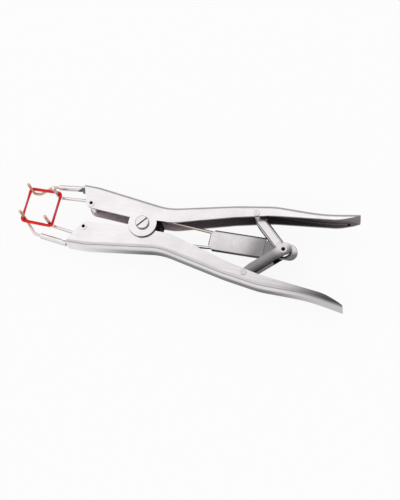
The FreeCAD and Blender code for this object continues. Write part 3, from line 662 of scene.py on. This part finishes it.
class PLIERS_OT_handles(bpy.types.Operator):
    """Plated finish and painted shade on both handles and their prong sockets"""
    bl_idname = "pliers.handles"
    bl_label = "Handles"

    def execute(self, context):
        tones = context.scene.plier_colours
        # Painted shade inside the channels: light at the front, darker behind it and deep
        # in the channel.
        hollow = {"Inside Tone": 0.16, "Front Tone": 0.95,
                  "Front End": 0.004, "Front Run": 0.085, "Deep Tone": 0.35}
        # Painted shade for each handle: on the upper, a lighter rear inside, dark cut
        # edges and a grey web; on the lower, a dark crease, a painted dark reflection band
        # along the web and a painted shadow on the tail.
        webs = {
            "upper": {"Rear Start": 0.108, "Rear Tone": 0.53,
                      "Edge Tone": 0.2, "Crease Tone": 1.0,
                      "Web Tone": 0.8, "Web Start": 0.02, "Web Full": 0.3},
            "lower": {"Crease Tone": 0.4, "Crease At": 0.72,
                      "Crease Half": 0.15, "Web Tone": 0.06,
                      "Band Top": 0.003, "Band Soft": 0.0062,
                      "Band Front": -0.045, "Band Run": 0.056,
                      "Tail Start": 0.088, "Tail Run": 0.044,
                      "Tail Tone": 0.12, "Web Tail": 0.6}}
        # Painted shade lines on the lower plate round the upper handle's lobe, the second
        # darker and only on the side towards +X and -Y.
        lobe = ({"Round": 1.0, "At": 0.0097, "Half": 0.0004, "Tone": 0.4},
                {"Round": 1.0, "At": 0.0099, "Half": 0.0006, "Tone": 0.12,
                 "Toward": (0.75, -0.66, 0.0), "Start": 0.0045,
                 "Run": 0.0045})
        lines = {"upper": (), "lower": lobe}
        # A painted shadow on the upper socket where it meets the handle.
        socket_shadow = ((-0.0536, 0.0175, 0.0), (0.532, -0.847, 0.0), 0.0009, 0.1)
        shadows = {"upper": (socket_shadow,), "lower": ()}
        for name, side in SIDES:
            middle = CHANNEL_MIDDLE[name]
            plate = metal(
                name.capitalize() + " plate", tones.nickel, film=0.14,
                low=0.15, high=0.24, inside=tones.inside,
                channel={"Outward": side, "Middle": middle, **hollow,
                         **webs[name]},
                # Painted shade fills the hang hole and the ring round it.
                bore=(HANG_HOLE[0], side * HANG_HOLE[1], HOLE_RADIUS,
                      HOLE_SHADE_REACH, tones.grime, tones.grime,
                      middle - HOLE_SHADE_DROP),
                lines=lines[name])
            dress([name + "_handle"], plate)
            # A dish floor closes the hang hole; it lies inside the plate's painted bore
            # shade, so it shows black.
            floor = dish(name + "_tail_hole_shade_floor", HANG_HOLE[0],
                         side * HANG_HOLE[1], middle - SHADE_FLOOR_DROP,
                         SHADE_FLOOR_RADIUS, SHADE_FLOOR_DEPTH)
            floor.data.materials.append(plate)
            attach(floor, name + "_handle")
            # The sockets take painted shade at their sides.
            sleeve = metal(name.capitalize() + " socket", tones.socket,
                           film=0.12, low=0.2, high=0.3,
                           shadows=shadows[name], rim=0.7)
            dress([name + "_prong_socket"], sleeve)
        return {"FINISHED"}


class PLIERS_OT_linkage(bpy.types.Operator):
    """Finish and painted shade on links, slider and rods"""
    bl_idname = "pliers.linkage"
    bl_label = "Linkage"

    def execute(self, context):
        tones = context.scene.plier_colours
        self.links(tones)
        self.slider(tones)
        self.wires(tones)
        return {"FINISHED"}

    def links(self, tones):
        up, down = ((Vector((LINK_PIN[0], side * LINK_PIN[1], 0))
                     - SLIDER_EYE).normalized() for _, side in SIDES)
        # Painted shade lines on the inner link: two along its length, off to each side of
        # the eye, and two arcs round the eye on the side towards the pin.
        edge_shade = {"Center": tuple(SLIDER_EYE), "Across": tuple(-left_of(up))}
        eye_ring_shade = {"Center": tuple(SLIDER_EYE), "Round": 1.0,
                "Toward": tuple(up), "Start": 0.002, "Run": 0.002,
                "Half": 0.0003}
        inner = metal("Inner link plate", tones.nickel, film=0.12, low=0.2,
                      high=0.32, lines=(
                          {**edge_shade, "At": 0.0019, "Tone": 0.25},
                          {**edge_shade, "At": -0.0030, "Half": 0.0007,
                           "Tone": 0.12},
                          {**eye_ring_shade, "At": 0.0060, "Tone": 0.5},
                          {**eye_ring_shade, "At": 0.0047, "Tone": 0.55}))
        dress(["upper_link"], inner)
        side = left_of(down)
        # Painted shade on the outer link: darker away from the eye, and darker across it
        # towards one side.
        outer = metal("Outer link plate", tones.link_steel, film=0.3,
                      low=0.2, high=0.32, shadows=(
                          (SLIDER_EYE + down * 0.001, down, 0.007, 0.42),
                          (SLIDER_EYE - side * 0.0025, side, 0.006, 0.22)))
        dress(["lower_link"], outer)

    def slider(self, tones):
        # Painted shade on the slider tail: darker towards the box and towards -Y on its
        # nose, a painted shadow crescent round the eye and a painted shade line round the
        # nose.
        tail = metal(
            "Slider tail plate", tones.link_steel, film=0.25, low=0.2,
            high=0.32,
            shadows=((SLIDER_EYE - Vector((0.003, 0, 0)), (-1, 0, 0),
                      0.004, 0.3),
                     ((0.1035, 0.0020, 0.0), (0.3, -1, 0), 0.0038, 0.25)),
            lines=({"Center": tuple(SLIDER_EYE), "Round": 1.0,
                    "At": 0.0048, "Half": 0.0010, "Tone": 0.15,
                    "Toward": (0.8, -0.6, 0.0), "Start": 0.001,
                    "Run": 0.003},
                   {"Center": (0.100, 0, 0), "Round": 1.0, "At": 0.0052,
                    "Half": 0.0006, "Tone": 0.5}))
        dress(["slider_tail"], tail)
        # Painted shade on the slider box: near black within 1.6 mm of its middle plane and
        # darker towards its rear; with two dark lines, along it near y = 5.7 mm and across
        # it near x = 45.8 mm. The tail rivets take the same material and so its painted
        # shade.
        box = metal(
            "Slider plate", tones.link_steel, film=0.35, low=0.22,
            high=0.34, streak=(40, 1100, 1100), relief=0.25,
            channel={"Half Inside": 0.0016, "Inside Tone": 0.04,
                     "Outward": 0.0, "Web Tone": 1.0},
            shadows=(((0.064, 0, 0), (1, -0.35, 0), 0.017, 0.35),),
            lines=({"Center": (0.0573, 0.0057, 0),
                    "Across": (-0.02, 1.0, 0.0), "Half": 0.0011,
                    "Tone": 0.06},
                   {"Center": (0.0458, 0.0, 0.0),
                    "Across": (1.0, 0.02, 0.0), "At": 0.0002,
                    "Half": 0.0009, "Tone": 0.08}))
        dress(["slider_box", "tail_rivet_front", "tail_rivet_rear"], box)

    def wires(self, tones):
        # Rods and wires take painted shade at their sides.
        drawn = partial(metal, film=0.12, low=0.16, high=0.28,
                        streak=DRAWN)
        rod = drawn("Drawn rod", tones.rod_bright, rim=0.5,
                    second=((-0.005, 0, 0), (1, 0, 0), 0.02,
                            tones.rod_steel))
        dress(["upper_inner_prong"], rod)
        worn = drawn("Drawn rod with worn tip", tones.copper, rim=0.62,
                     second=((-0.066, 0, 0), (1, 0, 0), 0.006,
                             tones.rod_bright))
        dress(["lower_inner_prong"], worn)
        for name, run, shank in (("upper", 0.016, tones.copper_pale),
                                 ("lower", 0.010, tones.rod_bright)):
            wire = metal(name.capitalize() + " copper wire", tones.copper,
                         film=0.15, low=0.2, high=0.34,
                         streak=(200, 900, 900), rim=0.6,
                         second=((-0.083, 0, 0.004), (1, 0, -0.7), run,
                                 shank))
            dress([name + "_outer_prong"], wire)


class PLIERS_OT_fasteners(bpy.types.Operator):
    """Finish on screw, nut, pins and rivets, painted shade in the bores and on the screw
    head, and the guide block
    """
    bl_idname = "pliers.fasteners"
    bl_label = "Fasteners"

    def execute(self, context):
        tones = context.scene.plier_colours
        steel = partial(metal, streak=TURNED)
        turned = steel("Turned steel", tones.pin_steel, film=0.35,
                       low=0.18, high=0.3)
        dress(["pivot_nut", "pivot_washer", "pivot_bush",
               "upper_link_pin", "lower_link_pin", "knuckle_shim_near",
               "knuckle_shim_far", "upper_spacer_near",
               "upper_spacer_far", "lower_spacer",
               "upper_rod_pin", "lower_rod_pin"],
              turned)
        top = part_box("pivot_screw")[1].z
        # Painted shade on the screw head's side wall, darkening from 0.12 mm below its
        # top, and a painted shade line along the slot.
        head_wall_shade = ((0, 0, top - 0.00012), (0, 0, -1), 0.0002, 0.3)
        screw = steel("Screw steel", tones.nickel, film=0.2, low=0.16,
                      high=0.26, shadows=(head_wall_shade,),
                      lines=({"Across": (math.sin(SLOT_TURN),
                                         -math.cos(SLOT_TURN), 0.0),
                              "Half": 0.0006, "Tone": 0.12},))
        dress(["pivot_screw"], screw)
        # Painted shade fills each bore, with a ring of rust round it.
        for name, tone, ring_reach in (
                ("upper_guide_pin", tones.nickel, 0.0002),
                ("lower_guide_pin", tones.nickel, 0.0002),
                ("knuckle_rivet", tones.pin_steel, 0.0007)):
            low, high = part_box(name)
            hollow = steel(name.replace("_", " ").capitalize(), tone,
                           film=0.1, low=0.18, high=0.28,
                           bore=((low.x + high.x) / 2,
                                 (low.y + high.y) / 2, PIN_BORE, ring_reach,
                                 tones.grime, tones.rust, 1.0))
            dress([name], hollow)
        dress(["rod_guide_block"],
              soft_material("Guide block", tones.block_black, 0.6, 1400.0,
                            0.3, 0.04))
        return {"FINISHED"}


class PLIERS_OT_ring(bpy.types.Operator):
    """The stretched rubber ring, in lapped pieces that follow the prongs"""
    bl_idname = "pliers.ring"
    bl_label = "Rubber ring"

    def execute(self, context):
        sizes = context.scene.plier_sizes
        tones = context.scene.plier_colours
        rubber = soft_material("Ring rubber", tones.ring_red, 0.38, 2200.0,
                               0.25, 0.25, tones.ring_pale)
        wall, height = sizes.ring_wall, sizes.ring_height
        half = wall / 2
        x0, y1 = RING_LOW.x + half, RING_HIGH.y - half
        x1, y0 = RING_HIGH.x - half, y1 - sizes.ring_lean
        z = (RING_LOW.z + RING_HIGH.z) / 2
        for name, side in SIDES:
            first = np.array((x0, side * y0, z))
            last = np.array((x1, side * y1, z))
            way = unit(last - first)
            outer = rounded_path([(x0, 0, z), first,
                                  first + way * FRONT_HOOK],
                                 [RING_TURN], BEND_STEP)
            front = band(name + "_ring_front", outer, wall, height,
                         FRONT_WAIST)
            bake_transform(front)
            run = rounded_path([first + way * SIDE_START, first + way
                                * (SIDE_START + sizes.ring_side)], [],
                               RUN_STEP)
            lapped = band(name + "_ring_side", run, wall * SIDE_SHARE,
                          height * SIDE_SHARE)
            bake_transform(lapped)
            inner = rounded_path([(x1, 0, z), last, last - way
                                  * (LEG_START + sizes.ring_leg)],
                                 [RING_TURN], BEND_STEP)
            rear = band(name + "_ring_rear", inner, wall * REAR_SHARE,
                        height * REAR_SHARE, REAR_WAIST)
            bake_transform(rear)
            for piece in (front, lapped, rear):
                piece.data.materials.append(rubber)
                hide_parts("rubber_ring")
        return {"FINISHED"}


def floor_paint(tone):
    """Matt paint that glows where a camera or a mirror looks at it, so
    that the backdrop is white and still takes a shadow."""
    paint, tree, shader = new_material("Floor paint")
    shader.inputs["Base Color"].default_value = (*tone, 1)
    shader.inputs["Roughness"].default_value = 0.9
    glow = tree.nodes.new("ShaderNodeEmission")
    glow.inputs["Color"].default_value = (1, 1, 1, 1)
    rays = tree.nodes.new("ShaderNodeLightPath").outputs
    seen = calc(tree, "MAXIMUM", rays["Is Camera Ray"],
                rays["Is Glossy Ray"])
    seen = calc(tree, "MAXIMUM", seen, rays["Is Transmission Ray"])
    mix = tree.nodes.new("ShaderNodeMixShader")
    parts = (calc(tree, "MULTIPLY", seen, FLOOR_GLOW), shader.outputs[0],
             glow.outputs[0])
    for part, socket in zip(parts, mix.inputs):
        feed(tree, part, socket)
    feed(tree, mix.outputs[0],
         tree.nodes["Material Output"].inputs["Surface"])
    return paint


def studio_world():
    """White to the camera, and for light a dome that is brightest at the
    near horizon, dimmer at the far one and even overhead."""
    world = bpy.data.worlds.new("Studio")
    world.use_nodes = True
    tree = world.node_tree
    back = tree.nodes["Background"].inputs
    back["Color"].default_value = (1, 1, 1, 1)
    rays = tree.nodes.new("ShaderNodeLightPath").outputs
    seen = calc(tree, "MAXIMUM", rays["Is Camera Ray"],
                rays["Is Transmission Ray"])
    way = split(tree, coordinates(tree)["Generated"])
    horizon = ramp(tree, way["Y"], start=-0.7, end=0.7, low=0.92,
                   high=0.40)
    dome = ramp(tree, way["Z"], start=0.1, end=0.9, low=horizon, high=0.84)
    feed(tree, mix_values(tree, seen, dome, 1.0), back["Strength"])
    return world


def add_lamps(scene):
    for name, place, size, power in LAMPS:
        lamp = bpy.data.lights.new(name, "AREA")
        lamp.energy = power
        lamp.size = size
        holder = bpy.data.objects.new(name, lamp)
        scene.collection.objects.link(holder)
        holder.location = place
        aim = LAMP_TARGET - Vector(place)
        holder.rotation_mode = "QUATERNION"
        holder.rotation_quaternion = aim.to_track_quat("-Z", "Y")


def add_camera(scene):
    lens = bpy.data.cameras.new("camera")
    lens.sensor_width = SENSOR_WIDTH
    lens.lens = FOCAL_LENGTH
    lens.clip_start = 0.01
    lens.clip_end = 50.0
    camera = bpy.data.objects.new("camera", lens)
    scene.collection.objects.link(camera)
    right = Vector(CAMERA_RIGHT).normalized()
    up = Vector(CAMERA_UP)
    up = (up - right * up.dot(right)).normalized()
    turned = Matrix((right, up, right.cross(up))).transposed().to_4x4()
    turned.translation = Vector(CAMERA_PLACE)
    camera.matrix_world = turned
    scene.camera = camera


class PLIERS_OT_stage(bpy.types.Operator):
    """Floor, lights, world and camera"""
    bl_idname = "pliers.stage"
    bl_label = "Stage"

    def execute(self, context):
        scene = context.scene
        scene.view_settings.view_transform = "Standard"
        low = CAD_BOX[0].z - scene.plier_sizes.floor_drop
        reach = FLOOR_REACH
        floor = new_piece("floor", [(-reach, -reach, low),
                                    (reach, -reach, low),
                                    (reach, reach, low),
                                    (-reach, reach, low)], [(0, 1, 2, 3)])
        floor.data.materials.append(floor_paint(scene.plier_colours.floor))
        scene.world = studio_world()
        add_lamps(scene)
        add_camera(scene)
        return {"FINISHED"}


class PLIERS_PT_panel(bpy.types.Panel):
    """Lists the sizes, colours and pieces of the pliers"""
    bl_idname = "PLIERS_PT_panel"
    bl_label = "Elastrator pliers"
    bl_space_type = "VIEW_3D"
    bl_region_type = "UI"
    bl_category = "Pliers"

    def draw(self, context):
        layout = self.layout
        for owner in (context.scene.plier_sizes,
                      context.scene.plier_colours):
            for key in owner.__annotations__:
                layout.prop(owner, key)
        for step in STEPS:
            layout.operator(step.bl_idname)


STEPS = (PLIERS_OT_handles, PLIERS_OT_linkage, PLIERS_OT_fasteners,
         PLIERS_OT_ring, PLIERS_OT_stage)
CLASSES = (PlierSizes, PlierColours) + STEPS + (PLIERS_PT_panel,)


def register():
    for item in CLASSES:
        bpy.utils.register_class(item)
    bpy.types.Scene.plier_sizes = PointerProperty(type=PlierSizes)
    bpy.types.Scene.plier_colours = PointerProperty(type=PlierColours)


def unregister():
    del bpy.types.Scene.plier_colours
    del bpy.types.Scene.plier_sizes
    for item in reversed(CLASSES):
        bpy.utils.unregister_class(item)


def main():
    register()
    bpy.ops.pliers.handles()
    bpy.ops.pliers.linkage()
    bpy.ops.pliers.fasteners()
    bpy.ops.pliers.ring()
    bpy.ops.pliers.stage()


if __name__ == "__main__":
    main()
